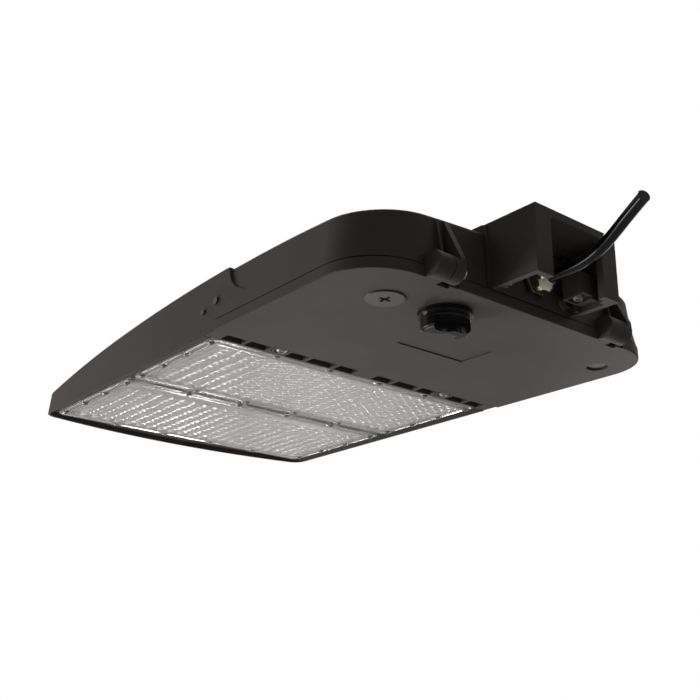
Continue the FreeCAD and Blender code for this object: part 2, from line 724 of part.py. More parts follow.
def board_screws():
    face = "base_bottom - board_thickness"
    made = []
    for name, _, _ in lens_rows():
        for number, (x, y) in enumerate(board_screw_places(name)):
            made.append(pan_screw(f"board_screw_{name}_{number}", x, y, face, "2.8", "1.4", "1.4", "11.5"))
    return node(group("board_screws", made), "board_screws")


# ---------------------------------------------------------------- door and what it carries

def door():
    tray = door_shape("tray_outer", "0", "0", "door_rim_height")
    round_edges(tray, lambda edge: edge.BoundBox.ZMax < 0.01, "door_edge_round")
    inside = door_shape("tray_inner", "door_rim_wall", "door_skin", "door_rim_height + 5")
    rib_out = door_shape("rib_outer", "seal_inset", "door_skin - 0.5", f"{SEAM} - seal_height - seal_play")
    rib_in = door_shape("rib_inner", "seal_inset + seal_width", "0", "door_rim_height + 5")
    rib = cut("seal_rib", rib_out, [rib_in])
    shell = cut("tray", tray, [inside])
    added = [shell, rib]
    for side in SIDES:
        mark = str(side).replace("-", "m")
        spot = (f"{side} * captive_x", "-1 * captive_y")
        added.append(rod(f"ear_{mark}", "z", spot, "ear_radius", "0", "ear_thickness"))
        added.append(block(f"ear_root_{mark}", (f"{spot[0]} - ear_radius", f"{spot[0]} + ear_radius"),
                           (spot[1], "door_rim_wall"), ("0", "ear_thickness")))
    for name, parting in hinge_places():
        span = (f"{parting} + hinge_gap / 2", f"{parting} + hinge_gap / 2 + knuckle_width")
        added.append(rod(f"knuckle_{name}", "x", (HINGE_Y, "hinge_height"), "knuckle_radius", *span))
        added.append(block(f"knuckle_root_{name}", span, ("door_length - 1", HINGE_Y),
                           ("0", "hinge_height - 0.5")))
    added.append(rod("plug_boss", "z", ("plug_x", "plug_y"), "plug_shank + 3.6", "1", "10"))
    added.append(rod("breather_boss", "z", ("breather_x", "breather_y"), "breather_radius + 3.4", "1", "6.5"))
    added.append(rod("socket_boss", "z", ("cap_x", "cap_y"), "collar_radius + 6", "1", "door_skin + 1"))
    whole = join("door_whole", added)

    tools = [block("label_recess",
                   ("label_middle - label_width / 2", "label_middle + label_width / 2"),
                   ("label_front", "label_front + label_length"), ("-1", "label_depth"))]
    for side in SIDES:
        mark = str(side).replace("-", "m")
        spot = (f"{side} * captive_x", "-1 * captive_y")
        tools.append(rod(f"ear_hole_{mark}", "z", spot, "captive_shank + 0.3", "-1", "ear_thickness + 1"))
        tools.append(rod(f"ear_sink_{mark}", "z", spot, "captive_head + 1.2", "-1", "1.9"))
    for name, parting in hinge_places():
        tools.append(block(f"lug_room_{name}",
                           (f"{parting} - hinge_gap / 2 - lug_width - 1", f"{parting} + hinge_gap / 2"),
                           (f"{HINGE_Y} - knuckle_radius - hinge_clear", "door_length + 30"), ("-5", "30")))
        tools.append(block(f"clip_room_{name}",
                           (f"{parting} - hinge_gap / 2 - lug_width - pin_tail - 1",
                            f"{parting} + hinge_gap / 2"),
                           (f"{HINGE_Y} - clip_radius - hinge_clear", "door_length + 30"), ("-5", "30")))
        tools.append(rod(f"pin_bore_{name}", "x", (HINGE_Y, "hinge_height"), "pin_radius + pin_play",
                         f"{parting} - 1", f"{parting} + knuckle_width - 2"))
    tools.append(rod("plug_hole", "z", ("plug_x", "plug_y"), "plug_shank + free_gap", "-1", "12"))
    tools.append(rod("breather_sink", "z", ("breather_x", "breather_y"), "breather_radius + 1", "-1", "3"))
    tools.append(rod("breather_hole", "z", ("breather_x", "breather_y"), "5.1", "-1", "8"))
    tools.append(rod("socket_hole", "z", ("cap_x", "cap_y"), "collar_radius + 0.1", "-1", "8"))
    return node(cut("door", whole, tools), "door")


def door_gasket():
    outer = door_shape("seal_outer", "seal_inset", f"{SEAM} - seal_height", SEAM)
    inner = door_shape("seal_inner", "seal_inset + seal_width", "0", f"{SEAM} + 5")
    return node(cut("door_gasket", outer, [inner]), "door_gasket")


def captive_screws():
    for side, name in ((1, "near"), (-1, "far")):
        x, y = f"{side} * captive_x", "-1 * captive_y"
        screw = turned(f"captive_turned_{name}", x, y, [
            ("0", "-0.9"), ("captive_head * 0.72", "-0.9"), ("captive_head", "0.4"), ("captive_head", "1.8"),
            ("captive_shank", "1.8"), ("captive_shank", "captive_end - 1.5"),
            ("captive_shank - 1", "captive_end"), ("0", "captive_end")])
        node(crossed(screw, f"captive_{name}", x, y, "-0.9", "captive_head", "2.4"), f"captive_screw_{name}")
        low = "ear_thickness + captive_travel + 0.2"
        clip = cut(f"captive_clip_{name}",
                   rod(f"clip_disc_{name}", "z", (x, y), "captive_shank + 1.2", low, f"{low} + 0.8"),
                   [rod(f"clip_bore_{name}", "z", (x, y), "captive_shank", "0", f"{low} + 5")])
        node(clip, f"captive_ring_{name}")


def sensor_parts():
    x, y = "cap_x", "cap_y"
    seat = "-0.8"
    cap = turned("cap_turned", x, y, [
        ("0", "-1 * cap_drop"), ("cap_radius - 1.5", "-1 * cap_drop"), ("cap_radius", "-1 * cap_drop + 1.5"),
        ("cap_radius", f"{seat} - cap_flange_height"), ("cap_flange_radius", f"{seat} - cap_flange_height"),
        ("cap_flange_radius", seat), ("cap_radius - cap_wall", seat),
        ("cap_radius - cap_wall", "-5.2"), ("0", "-5.2")])
    scoops = []
    for side in SIDES:
        mark = str(side).replace("-", "m")
        spot = (f"cap_x + {side} * 7.2", f"cap_y + {side} * 10.6")
        round_scoop = rod(f"scoop_{mark}", "z", spot, "10.4", "-1 * cap_drop - 1", "-7.2")
        long_scoop = rod(f"scoop_wide_{mark}", "z", (f"cap_x - {side} * 5.5", f"cap_y + {side} * 15.5"), "9",
                         "-1 * cap_drop - 1", "-7.2")
        scoops += [round_scoop, long_scoop]
    node(cut("twist_cap", cap, scoops), "twist_cap")

    gasket = turned("sensor_gasket", x, y, [
        ("collar_radius + 0.6", f"{seat} + free_gap"), ("cap_flange_radius - 0.8", f"{seat} + free_gap"),
        ("cap_flange_radius - 0.8", "0"), ("collar_radius + 0.6", "0")])
    node(gasket, "sensor_gasket")
    collar = turned("socket_turned", x, y, [
        ("0", "-4.4"), ("collar_radius", "-4.4"), ("collar_radius", "12"), ("collar_radius - 3", "14"),
        ("collar_radius - 3", "19"), ("0", "19")])
    slots = [block(f"blade_slot_{number}", (f"cap_x + {dx} - 1", f"cap_x + {dx} + 1"),
                   (f"cap_y + {dy} - 3.5", f"cap_y + {dy} + 3.5"), ("-6", "6"))
             for number, (dx, dy) in enumerate(((-7, 0), (4, -5), (4, 5)))]
    node(cut("sensor_socket", collar, slots), "sensor_socket")
    nut = cut("socket_nut", rod("nut_blank", "z", (x, y), "collar_radius + 5", "door_skin + 1",
                                "door_skin + 6", 6),
              [rod("nut_bore", "z", (x, y), "collar_radius + fit_play / 2", "0", "20")])
    node(nut, "socket_nut")


def cross_plug():
    x, y = "plug_x", "plug_y"
    plug = turned("plug_turned", x, y, [
        ("0", "-1 * plug_proud"), ("plug_radius - 0.8", "-1 * plug_proud"),
        ("plug_radius", "-1 * plug_proud + 0.8"),
        ("plug_radius", "-1 * free_gap"), ("plug_shank", "-1 * free_gap"), ("plug_shank", "2.4"),
        ("plug_shank - 1.5", "2.4"), ("plug_shank - 1.5", "4.4"), ("plug_shank", "4.4"),
        ("plug_shank", "8.6"), ("plug_shank - 3", "8.6"), ("plug_shank - 3", "2.2"), ("0", "2.2")])
    bars = []
    for number, (a, b) in enumerate(((5.2, 1.3), (1.3, 5.2))):
        bars.append(block(f"plug_bar_{number}", (f"{x} - {a}", f"{x} + {a}"), (f"{y} - {b}", f"{y} + {b}"),
                          ("-1 * plug_proud - 1", "1")))
    node(cut("cross_plug", plug, bars), "cross_plug")
    seal = doc.addObject("Part::Torus", "plug_oring")
    bind(seal, "Radius1", "plug_shank - 0.6")
    bind(seal, "Radius2", "0.75")
    place(seal, x, y, "3.4")
    node(seal, "plug_oring")


def selector():
    """Setting switch behind the round plug, with two sliding knobs that show through its hole."""
    x = ("plug_x - 12", "plug_x + 12")
    body_block = block("selector_block", x, ("plug_y - 8", "plug_y + 8"), ("13", "20"))
    feet = [block(f"selector_foot_{n}", (f"plug_x + {low}", f"plug_x + {low + 3}"),
                  ("plug_y - 8", "plug_y + 8"), ("10", "13.5")) for n, low in enumerate((-15, 12))]
    bridge = block("selector_bridge", ("plug_x - 15", "plug_x + 15"), ("plug_y - 8", "plug_y + 8"),
                   ("16", "18"))
    slots = [block(f"selector_slot_{n}", ("plug_x - 5.4", "plug_x + 5.4"),
                   (f"plug_y + {dy} - 1.7", f"plug_y + {dy} + 1.7"), ("12", "17"))
             for n, dy in enumerate((-4, 4))]
    node(cut("selector_switch", join("selector_whole", [body_block, bridge] + feet), slots),
         "selector_switch")
    for name, dy in (("power_knob", -4), ("colour_knob", 4)):
        y = (f"plug_y + {dy} - 1.4", f"plug_y + {dy} + 1.4")
        stem = block(f"{name}_stem", ("plug_x - 2", "plug_x + 2"), y, ("10.4", "16"))
        node(cut(name, stem, [block(f"{name}_groove", ("plug_x - 0.4", "plug_x + 0.4"),
                                    (f"plug_y + {dy} - 3", f"plug_y + {dy} + 3"), ("9", "10.9"))]), name)


def breather():
    made = turned("breather", "breather_x", "breather_y", [
        ("0", "1.4"), ("breather_radius - 0.7", "1.4"), ("breather_radius", "2.1"), ("breather_radius", "3"),
        ("5", "3"), ("5", "6.6"), ("6.2", "7"), ("5", "9.5"), ("0", "9.5")])
    return node(made, "breather_plug")


# ---------------------------------------------------------------- hinge pins

def hinge_pins():
    pins, clips = [], []
    for name, parting in hinge_places():
        low = f"{parting} - hinge_gap / 2 - lug_width - pin_tail"
        pin = rod(f"pin_{name}", "x", (HINGE_Y, "hinge_height"), "pin_radius", low,
                  f"{parting} + knuckle_width - 2.6")
        groove = cut(f"pin_groove_{name}",
                     rod(f"groove_out_{name}", "x", (HINGE_Y, "hinge_height"), "pin_radius + 1",
                         f"{low} + 2", f"{low} + 3.2"),
                     [rod(f"groove_in_{name}", "x", (HINGE_Y, "hinge_height"), "pin_radius - 0.8",
                          f"{low} - 1", f"{low} + 6")])
        pins.append(cut(f"hinge_pin_{name}", pin, [groove]))
        disc = rod(f"clip_out_{name}", "x", (HINGE_Y, "hinge_height"), "clip_radius", f"{low} + 2.1",
                   f"{low} + 3.1")
        bore = rod(f"clip_in_{name}", "x", (HINGE_Y, "hinge_height"), "pin_radius - 0.8", f"{low} - 1",
                   f"{low} + 6")
        mouth = block(f"clip_mouth_{name}", (low, f"{low} + 6"), (f"{HINGE_Y} - 2.2", f"{HINGE_Y} + 2.2"),
                      ("hinge_height - 20", "hinge_height"))
        clips.append(cut(f"pin_clip_{name}", disc, [bore, mouth]))
    node(group("hinge_pins", pins), "hinge_pins")
    node(group("pin_clips", clips), "pin_clips")


# ---------------------------------------------------------------- arm

EARTH_Y = f"({REAR_WALL} + 26)"


def arm():
    half = "arm_width / 2"
    outer = plate("arm_outer", (f"-1 * {half}", half), (ARM_START, ARM_END), ("arm_bottom", "arm_top"))
    round_edges(outer, long_top_edge, "arm_round")
    foot = block("arm_foot_plate", (f"-1 * ({half} + arm_foot)", f"{half} + arm_foot"),
                 (ARM_START, f"{ARM_START} + arm_foot_length"), (f"{SEAM} + 0.6", "arm_top - arm_round"))
    hollow = block("arm_hollow", (f"-1 * ({half} - arm_wall)", f"{half} - arm_wall"),
                   (f"{ARM_START} + arm_base", f"{ARM_END} - arm_flange_thickness"),
                   ("arm_bottom - 5", "arm_top - arm_rim"))
    mouth = plate("arm_mouth", (f"-1 * ({half} - arm_flange)", f"{half} - arm_flange"),
                  (f"{ARM_END} - arm_flange_thickness - 1", f"{ARM_END} + 5"),
                  ("arm_bottom - 5", "arm_top - arm_rim"))
    round_edges(mouth, upper_mouth_edge, "mouth_round")
    relief = block("door_relief", (f"-1 * ({half} + 2)", f"{half} + 2"),
                   (f"{ARM_START} - 2", "door_length + seam_gap"), ("arm_bottom - 5", SEAM))
    tools = [hollow, mouth, relief]
    tools.append(rod("gland_window", "y", ("0", "gland_height"), "gland_boss_radius + 0.6",
                     f"{ARM_START} - 3", f"{ARM_START} + arm_base + 1"))
    for side in SIDES:
        mark = str(side).replace("-", "m")
        for level in ("arm_bolt_low", "arm_bolt_high"):
            tools.append(rod(f"arm_bolt_hole_{mark}_{level}", "y", (f"{side} * arm_bolt_x", level), "3.3",
                             f"{ARM_START} - 3", f"{ARM_START} + arm_base + 1"))
        tools.append(rod(f"bracket_hole_{mark}", "z",
                         (f"{side} * bracket_hole_x", f"{ARM_END} - bracket_hole_set"),
                         "bracket_hole_radius", "arm_top - arm_rim - 2", "arm_top + 2"))
    shell = cut("arm_shell", join("arm_stock", [outer, foot]), tools)
    reach = f"({half} - 1)"
    lug = block("earth_lug", (f"-1 * {reach}", "earth_x + 7.5"), (f"{EARTH_Y} - 8", f"{EARTH_Y} + 8"),
                ("13", "32"))
    wall_rib = block("arm_rib", (f"-1 * {reach}", f"-1 * ({half} - arm_wall - 3)"),
                     (f"{ARM_START} + 12", f"{ARM_START} + 15"), ("arm_bottom + 1", "arm_top - 2"))
    corner_rib = block("arm_corner_rib", (f"-1 * {reach}", f"-1 * ({half} - arm_wall - 6)"),
                       (f"{ARM_END} - arm_flange_thickness - 4", f"{ARM_END} - arm_flange_thickness + 1"),
                       ("arm_bottom", "arm_top - 2"))
    whole = join("arm_whole", [shell, lug, wall_rib, corner_rib])
    drill = rod("earth_thread", "z", ("earth_x", EARTH_Y), "2.6", "10", "27")
    sink = block("earth_sink", ("earth_x - 6", "earth_x + 6"), (f"{EARTH_Y} - 6", f"{EARTH_Y} + 10"),
                 ("10", "15.5"))
    return node(cut("arm", whole, [drill, sink]), "arm")


def upper_mouth_edge(edge):
    """The two upper corners of the arm's open mouth."""
    box = edge.BoundBox
    return box.YLength > 3 and box.XLength < 1 and abs(box.ZMin - size("arm_top - arm_rim")) < 0.01


def long_top_edge(edge):
    """The two long upper edges of the arm, beside its flat roof."""
    box = edge.BoundBox
    return box.YLength > 20 and box.XLength < 1 and abs(box.ZMin - size("arm_top")) < 0.01


def arm_fixings():
    half = "arm_width / 2 - 1"
    sheet_blank = block("arm_gasket_blank", (f"-1 * ({half})", half), (REAR_WALL, ARM_START),
                        (f"{SEAM} + 0.8", "arm_top - 2"))
    holes = [rod("arm_gasket_window", "y", ("0", "gland_height"), "gland_boss_radius + 0.3",
                 f"{REAR_WALL} - 2", f"{ARM_START} + 2")]
    bolts, washers = [], []
    seat = f"{ARM_START} + arm_base"
    for side in SIDES:
        for level in ("arm_bolt_low", "arm_bolt_high"):
            mark = f"{side}_{level}".replace("-", "m")
            spot = (f"{side} * arm_bolt_x", level)
            holes.append(rod(f"arm_gasket_hole_{mark}", "y", spot, "3.3", f"{REAR_WALL} - 2",
                             f"{ARM_START} + 2"))
            shank = rod(f"bolt_shank_{mark}", "y", spot, "3", f"{REAR_WALL} - 8", f"{seat} + 2")
            head = rod(f"bolt_head_{mark}", "y", spot, "5.77", f"{seat} + 1.2", f"{seat} + 5.2", 6)
            bolts.append(join(f"arm_bolt_{mark}", [shank, head]))
            washers.append(cut(f"arm_washer_{mark}",
                               rod(f"washer_out_{mark}", "y", spot, "6", seat, f"{seat} + 1.2"),
                               [rod(f"washer_in_{mark}", "y", spot, "3.2", f"{seat} - 1", f"{seat} + 3")]))
    node(cut("arm_gasket_sheet", sheet_blank, holes), "arm_gasket")
    node(group("arm_bolts", bolts), "arm_bolts")
    node(group("arm_washers", washers), "arm_washers")


def earth_screw():
    return node(pan_screw("earth", "earth_x", EARTH_Y, "15.5", "4.4", "2.8", "2.5", "26"), "earth_screw")


def shield_screws():
    """Small side screws that would carry a light shield, heads just proud of the side."""
    made = []
    for side in SIDES:
        for number, (y, z, thread) in enumerate(SHIELD_SCREWS):
            mark = f"{side}_{number}".replace("-", "m")
            face = f"(frame_width / 2 - {z} * tan(frame_draft))"
            inner, outer = f"{face} - 4", f"{face} + 1.2"
            head_low = f"{face} + {thread} * 0.75 * tan(frame_draft) + 0.05"
            if side > 0:
                shank = rod(f"shield_shank_{mark}", "x", (y, z), thread / 2, inner, outer)
                head = rod(f"shield_head_{mark}", "x", (y, z), thread * 0.75, head_low, f"{outer} + 0.4")
            else:
                shank = rod(f"shield_shank_{mark}", "x", (y, z), thread / 2, f"-1 * ({outer})",
                            f"-1 * ({inner})")
                head = rod(f"shield_head_{mark}", "x", (y, z), thread * 0.75, f"-1 * ({outer} + 0.4)",
                           f"-1 * ({head_low})")
            made.append(join(f"shield_screw_{mark}", [shank, head]))
    return node(group("shield_screws", made), "shield_screws")


# ---------------------------------------------------------------- gland and cable

def gland():
    spot = ("0", "gland_height")
    start = GLAND_END
    hexagon = "gland_flats / 2 / 0.866"
    thread = rod("gland_thread_rod", "y", spot, "gland_thread", f"{REAR_WALL} - 17", f"{start} + 1")
    collar = rod("gland_collar", "y", spot, "gland_flats / 2", start, f"{start} + 1.2")
    flats = rod("gland_flats_bar", "y", spot, hexagon, f"{start} + 1", f"{start} + 5.5", 6)
    neck = rod("gland_neck", "y", spot, "8.4", f"{start} + 5", f"{start} + 12")
    bore = rod("gland_bore", "y", spot, "cable_diameter / 2 + 0.9", f"{REAR_WALL} - 30", f"{start} + 30")
    node(cut("gland_body", join("gland_stock", [thread, collar, flats, neck]), [bore]), "gland_body")

    low = f"{start} + 6"
    dome = turned("gland_dome", "0", "0", [
        ("8.45", "0"), ("gland_flats / 2", "0"), ("gland_flats / 2 + 0.6", "0.6"),
        ("gland_flats / 2 + 0.6", "6.5"),
        ("gland_flats / 2 - 1.2", "9.5"), ("gland_flats / 2 - 4", "12"), ("cable_diameter / 2 + 0.9", "12"),
        ("cable_diameter / 2 + 0.9", "9.6"), ("8.45", "6.6")])
    lying(dome, "0", low, "gland_height", "y")
    hex_bar = rod("dome_flats", "y", spot, hexagon, f"{low} - 1", f"{low} + 14", 6)
    node(common("gland_nut", dome, hex_bar), "gland_nut")

    seal = turned("gland_seal", "0", "0", [
        ("cable_diameter / 2 + 0.02", "0"), ("cable_diameter / 2 + 0.85", "0"),
        ("cable_diameter / 2 + 0.85", "12.4"),
        ("cable_diameter / 2 + 0.02", "13.2")])
    lying(seal, "0", low, "gland_height", "y")
    node(seal, "gland_seal")
    nut = cut("gland_locknut", rod("locknut_blank", "y", spot, "12", f"{REAR_WALL} - 12",
                                   f"{REAR_WALL} - 8.1", 6),
              [rod("locknut_bore", "y", spot, "gland_thread + 0.05", f"{REAR_WALL} - 20", REAR_WALL)])
    node(nut, "gland_locknut")


# The free cable: chosen points of its route, on the working datum.
CABLE_START = ("0", f"{GLAND_END} + 19.2", "gland_height")
CABLE_STEPS = [(0, 12.2, 0), (0.8, 13.3, 0.1), (2.3, 13, 1.3), (3.7, 12.5, 2.5), (4.6, 12.1, 3.2),
               (5.1, 11.9, 3.1), (5.3, 11.9, 2.7), (5.5, 11.9, 2.1)]


def rounded_route(points):
    """Straight runs joined by tangent arcs, each as large as its two runs allow."""
    edges, start, radii = [], points[0], []
    for before, corner, after in zip(points, points[1:], points[2:]):
        toward = (corner - before).normalize()
        onward = (after - corner).normalize()
        turn = toward.getAngle(onward)
        reach = 0.45 * min(before.distanceToPoint(corner), corner.distanceToPoint(after))
        radii.append(reach / math.tan(turn / 2))
        entry, leave = corner - toward * reach, corner + onward * reach
        inward = (onward - toward).normalize()
        middle = corner + inward * (radii[-1] / math.cos(turn / 2) - radii[-1])
        edges.append(Part.LineSegment(start, entry).toShape())
        edges.append(Part.Arc(entry, middle, leave).toShape())
        start = leave
    edges.append(Part.LineSegment(start, points[-1]).toShape())
    return Part.Wire(edges), radii


def cable():
    points = [FreeCAD.Vector(*[size(text) for text in CABLE_START])]
    for step in CABLE_STEPS:
        points.append(points[-1] + FreeCAD.Vector(*step))
    route, radii = rounded_route(points)
    radius = size("cable_diameter") / 2
    profile = Part.Wire(Part.makeCircle(radius, points[0], points[1] - points[0]))
    made = doc.addObject("Part::Feature", "supply_cable")
    made.Shape = route.makePipeShell([profile], True, True)
    place(made)
    share = made.Shape.Volume / (math.pi * radius ** 2 * route.Length)
    print("cable bend radii, mm:", [round(value, 1) for value in radii])
    print("cable length, mm:", round(route.Length, 1), "volume over section times length:", round(share, 4))
    return node(made, "supply_cable")


# ---------------------------------------------------------------- inside the compartment

def electronics():
    roof = "compartment_ceiling"
    case = plate("driver_case", ("-125", "25"), ("22", "92"), (f"{roof} - 26", f"{roof} - 1"), "4")
    ends = [block(f"driver_tab_{n}", (low, high), ("40", "74"), (f"{roof} - 3.5", roof))
            for n, (low, high) in enumerate((("-139", "-124"), ("24", "39")))]
    holes = [rod(f"driver_hole_{n}", "z", (str(x), DRIVER_SCREW_Y), "2.3", f"{roof} - 10", f"{roof} + 2")
             for n, x in enumerate(DRIVER_SCREW_X)]
    node(cut("led_driver", join("driver_whole", [case] + ends), holes), "led_driver")
    screws = [pan_screw(f"driver_screw_{n}", str(x), DRIVER_SCREW_Y, f"{roof} - 3.5", "4", "2.4", "2",
                        f"{roof} + 2.8") for n, x in enumerate(DRIVER_SCREW_X)]
    node(group("driver_screws", screws), "driver_screws")
    surge = plate("surge_protector", ("-118", "-58"), ("108", "146"),
                  ("rear_ceiling - 18", "rear_ceiling"), "3")
    node(surge, "surge_protector")
    block_body = block("terminal_stock", ("-28", "14"), ("112", "132"), ("rear_ceiling - 16", "rear_ceiling"))
    wells = [rod(f"terminal_well_{n}", "z", (x, "122"), "3.2", "rear_ceiling - 18", "rear_ceiling - 9")
             for n, x in enumerate(("-21", "-7", "7"))]
    node(cut("terminal_block", block_body, wells), "terminal_block")


# ---------------------------------------------------------------- build, check and write

housing()
for lens_name, lens_back, lens_front_edge in lens_rows():
    lens_panel(lens_name, lens_back, lens_front_edge)
    lens_gasket(lens_name, lens_back, lens_front_edge)
    led_board(lens_name, lens_back, lens_front_edge)
lens_screws()
board_screws()
door()
door_gasket()
captive_screws()
sensor_parts()
cross_plug()
selector()
breather()
hinge_pins()
arm()
arm_fixings()
earth_screw()
shield_screws()
gland()
cable()
electronics()
doc.recompute()

faults = [thing.Name for thing in doc.Objects if "Invalid" in thing.State or "Error" in thing.State]
faults += [thing.Label for thing in NODES if thing.Shape.isNull() or not thing.Shape.isValid()]
if faults:
    raise RuntimeError("not sound: " + ", ".join(faults))

os.makedirs("parts", exist_ok=True)
for thing in NODES:
    thing.Shape.exportStep(f"parts/{thing.Label}.step")
print(len(NODES), "nodes written")
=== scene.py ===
import math

import bpy
from mathutils import Matrix, Vector

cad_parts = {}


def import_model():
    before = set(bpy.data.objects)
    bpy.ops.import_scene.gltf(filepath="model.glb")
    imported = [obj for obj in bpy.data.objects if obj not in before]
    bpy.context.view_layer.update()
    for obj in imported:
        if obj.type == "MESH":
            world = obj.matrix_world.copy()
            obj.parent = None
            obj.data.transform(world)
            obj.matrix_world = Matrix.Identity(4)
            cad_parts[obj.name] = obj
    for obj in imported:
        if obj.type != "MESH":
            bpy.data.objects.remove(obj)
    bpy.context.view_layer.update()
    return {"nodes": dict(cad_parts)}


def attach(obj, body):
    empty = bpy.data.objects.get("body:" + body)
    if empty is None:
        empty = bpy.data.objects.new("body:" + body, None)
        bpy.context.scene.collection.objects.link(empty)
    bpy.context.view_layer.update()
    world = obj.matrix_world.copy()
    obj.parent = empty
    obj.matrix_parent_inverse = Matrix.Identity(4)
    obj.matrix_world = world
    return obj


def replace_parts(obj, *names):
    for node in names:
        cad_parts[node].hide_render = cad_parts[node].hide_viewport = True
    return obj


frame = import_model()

bl_info = {
    "name": "Area light looks",
    "version": (1, 0, 0),
    "blender": (4, 5, 0),
    "location": "3D View > Sidebar > Area light",
    "description": "Finishes, lens optics, cable and studio for a pole-top area light",
    "category": "Object",
}

MM = 0.001

# Where the working datum of the part's sizes lies in the row frame, in millimetres:
# x on the middle plane, y from the door's front edge, z from the door's underside.
DATUM = Vector((0.0, -224.8, -57.5))

# Sizes of the lens panels and the boards above them, in millimetres on the working datum.
SIZES = {
    "lens_half_width": 147.2, "lens_corner": 7.0, "lens_face": 1.2, "lens_top": 3.4,
    "edge_round": 0.5, "groove_depth": 0.7, "field_face": 0.3, "field_inside": 2.3, "rim_width": 9.5,
    "columns": 22, "rows": 12, "pitch_x": 12.2, "pitch_y": 8.75,
    "optic_half_x": 5.5, "optic_half_y": 3.95, "waist_half": 1.8,
    "screw_inset": 4.0, "pad_radius": 4.2, "pad_edge": 1.0, "pad_slope": 0.7,
    "tab_half": 5.0, "tab_depth": 2.6, "tab_reach": 1.5,
    "board_face": 7.0, "chip_clear": 0.1,
}

# Each panel's front and rear edge and the middle of its optics, along y.
PANELS = {
    "rear": {"y": (-151.4, -17.6), "middle": -79.6},
    "front": {"y": (-306.4, -157.0), "middle": -231.6},
}

# The panels' screws: places along the long edges, and shares of the way along the short ones.
LONG_EDGE_SCREWS = (-84, -28, 28, 84)
SHORT_EDGE_SHARES = (0.08, 0.36, 0.64, 0.92)

# Distances in from a panel's edge where its grid has a line, and grid cells in each optic.
RIM_LINES = (0, 0.5, 1.8, 2.5, 4.0, 5.8, 6.6, 7.6, 8.6, 10, 12)
CELLS_ACROSS = 12
CELLS_ALONG = 10

# The supply cable: where it leaves the gland, the steps of its route, and its size.
CABLE_START = (0.0, 201.2, 25.2)
CABLE_STEPS = [(0, 12.2, 0), (0.8, 13.3, 0.1), (2.3, 13, 1.3), (3.7, 12.5, 2.5), (4.6, 12.1, 3.2),
               (5.1, 11.9, 3.1), (5.3, 11.9, 2.7), (5.5, 11.9, 2.1)]
CABLE_WIDTH = 9.0

# The camera's place in millimetres and its turn in degrees. The lens is 1020.13 pixels long in a
# picture 700 pixels wide, on a sensor 36 mm wide.
CAMERA_SPOT = (542.3, 632.3, -272.9)
CAMERA_AZIMUTH = 140.6363
CAMERA_ELEVATION = -19.4434
CAMERA_ROLL = 0.6315
SENSOR_WIDTH = 36
CAMERA_LENS = 1020.13 / 700 * SENSOR_WIDTH

# Each studio lamp's place and the side of its square, the point that they face, and the floor's
# half width and level, in metres.
LAMPS = {
    "key": ((1.05, -1.7, -0.85), 0.9),
    "glint": ((-0.57, -1.08, -1.0), 0.18),
    "far": ((-1.75, -1.0, -0.55), 0.5),
    "top": ((-0.7, -1.2, 1.6), 1.5),
}
LAMP_TARGET = (0, -0.28, -0.03)
FLOOR_HALF = 6.0
FLOOR_LEVEL = -1.1


def spot(x, y, z):
    """A point of the working datum, in metres in the row frame."""
    return (Vector((x, y, z)) + DATUM) * MM


# ---------------------------------------------------------------- colours and nodes

def linear(code):
    """An sRGB hex colour as linear red, green, blue and alpha."""
    values = []
    for start in (1, 3, 5):
        share = int(code[start:start + 2], 16) / 255
        values.append(share / 12.92 if share <= 0.04045 else ((share + 0.055) / 1.055) ** 2.4)
    return (*values, 1.0)


def add_node(tree, kind, values=None, links=None, **settings):
    """A node with its settings, its socket values and its incoming links."""
    made = tree.nodes.new(kind)
    for name, value in settings.items():
        setattr(made, name, value)
    for name, value in (values or {}).items():
        made.inputs[name].default_value = value
    for name, source in (links or {}).items():
        tree.links.new(source, made.inputs[name])
    return made


def blank_material(name):
    """An empty node tree with its output, ready for nodes."""
    made = bpy.data.materials.new(name)
    made.use_nodes = True
    made.node_tree.nodes.clear()
    return made, made.node_tree, add_node(made.node_tree, "ShaderNodeOutputMaterial")


def two_tones(tree, factor, low, high, near=0.35, far=0.65):
    """A ramp from one linear colour to another."""
    ramp = add_node(tree, "ShaderNodeValToRGB", links={"Fac": factor})
    ramp.color_ramp.elements[0].position = near
    ramp.color_ramp.elements[0].color = low
    ramp.color_ramp.elements[1].position = far
    ramp.color_ramp.elements[1].color = high
    return ramp.outputs["Color"]


def grained(name, low, high, grain_mm, depth_mm, roughness, spread=0.06, patch_mm=60, edge_mm=0.0,
            **shader):
    """A surface with a fine relief, a slow drift of colour and a matching drift of gloss, and
    with edges that catch the light over a small round."""
    made, tree, out = blank_material(name)
    where = add_node(tree, "ShaderNodeTexCoord").outputs["Object"]
    patches = add_node(tree, "ShaderNodeTexNoise", {"Scale": 1 / (patch_mm * MM), "Detail": 3.0},
                       {"Vector": where}).outputs["Fac"]
    grain = add_node(tree, "ShaderNodeTexNoise", {"Scale": 1 / (grain_mm * MM), "Detail": 2.0},
                     {"Vector": where}).outputs["Fac"]
    under = {"Height": grain}
    if edge_mm:
        under["Normal"] = add_node(tree, "ShaderNodeBevel", {"Radius": edge_mm * MM}, samples=6).outputs[0]
    relief = add_node(tree, "ShaderNodeBump", {"Strength": 1.0, "Distance": depth_mm * MM},
                      under).outputs["Normal"]
    gloss = add_node(tree, "ShaderNodeMapRange",
                     {"To Min": roughness - spread, "To Max": roughness + spread}, {"Value": patches})
    surface = add_node(tree, "ShaderNodeBsdfPrincipled", shader,
                       {"Base Color": two_tones(tree, patches, low, high), "Normal": relief,
                        "Roughness": gloss.outputs["Result"]})
    tree.links.new(surface.outputs["BSDF"], out.inputs["Surface"])
    return made


# ---------------------------------------------------------------- finishes

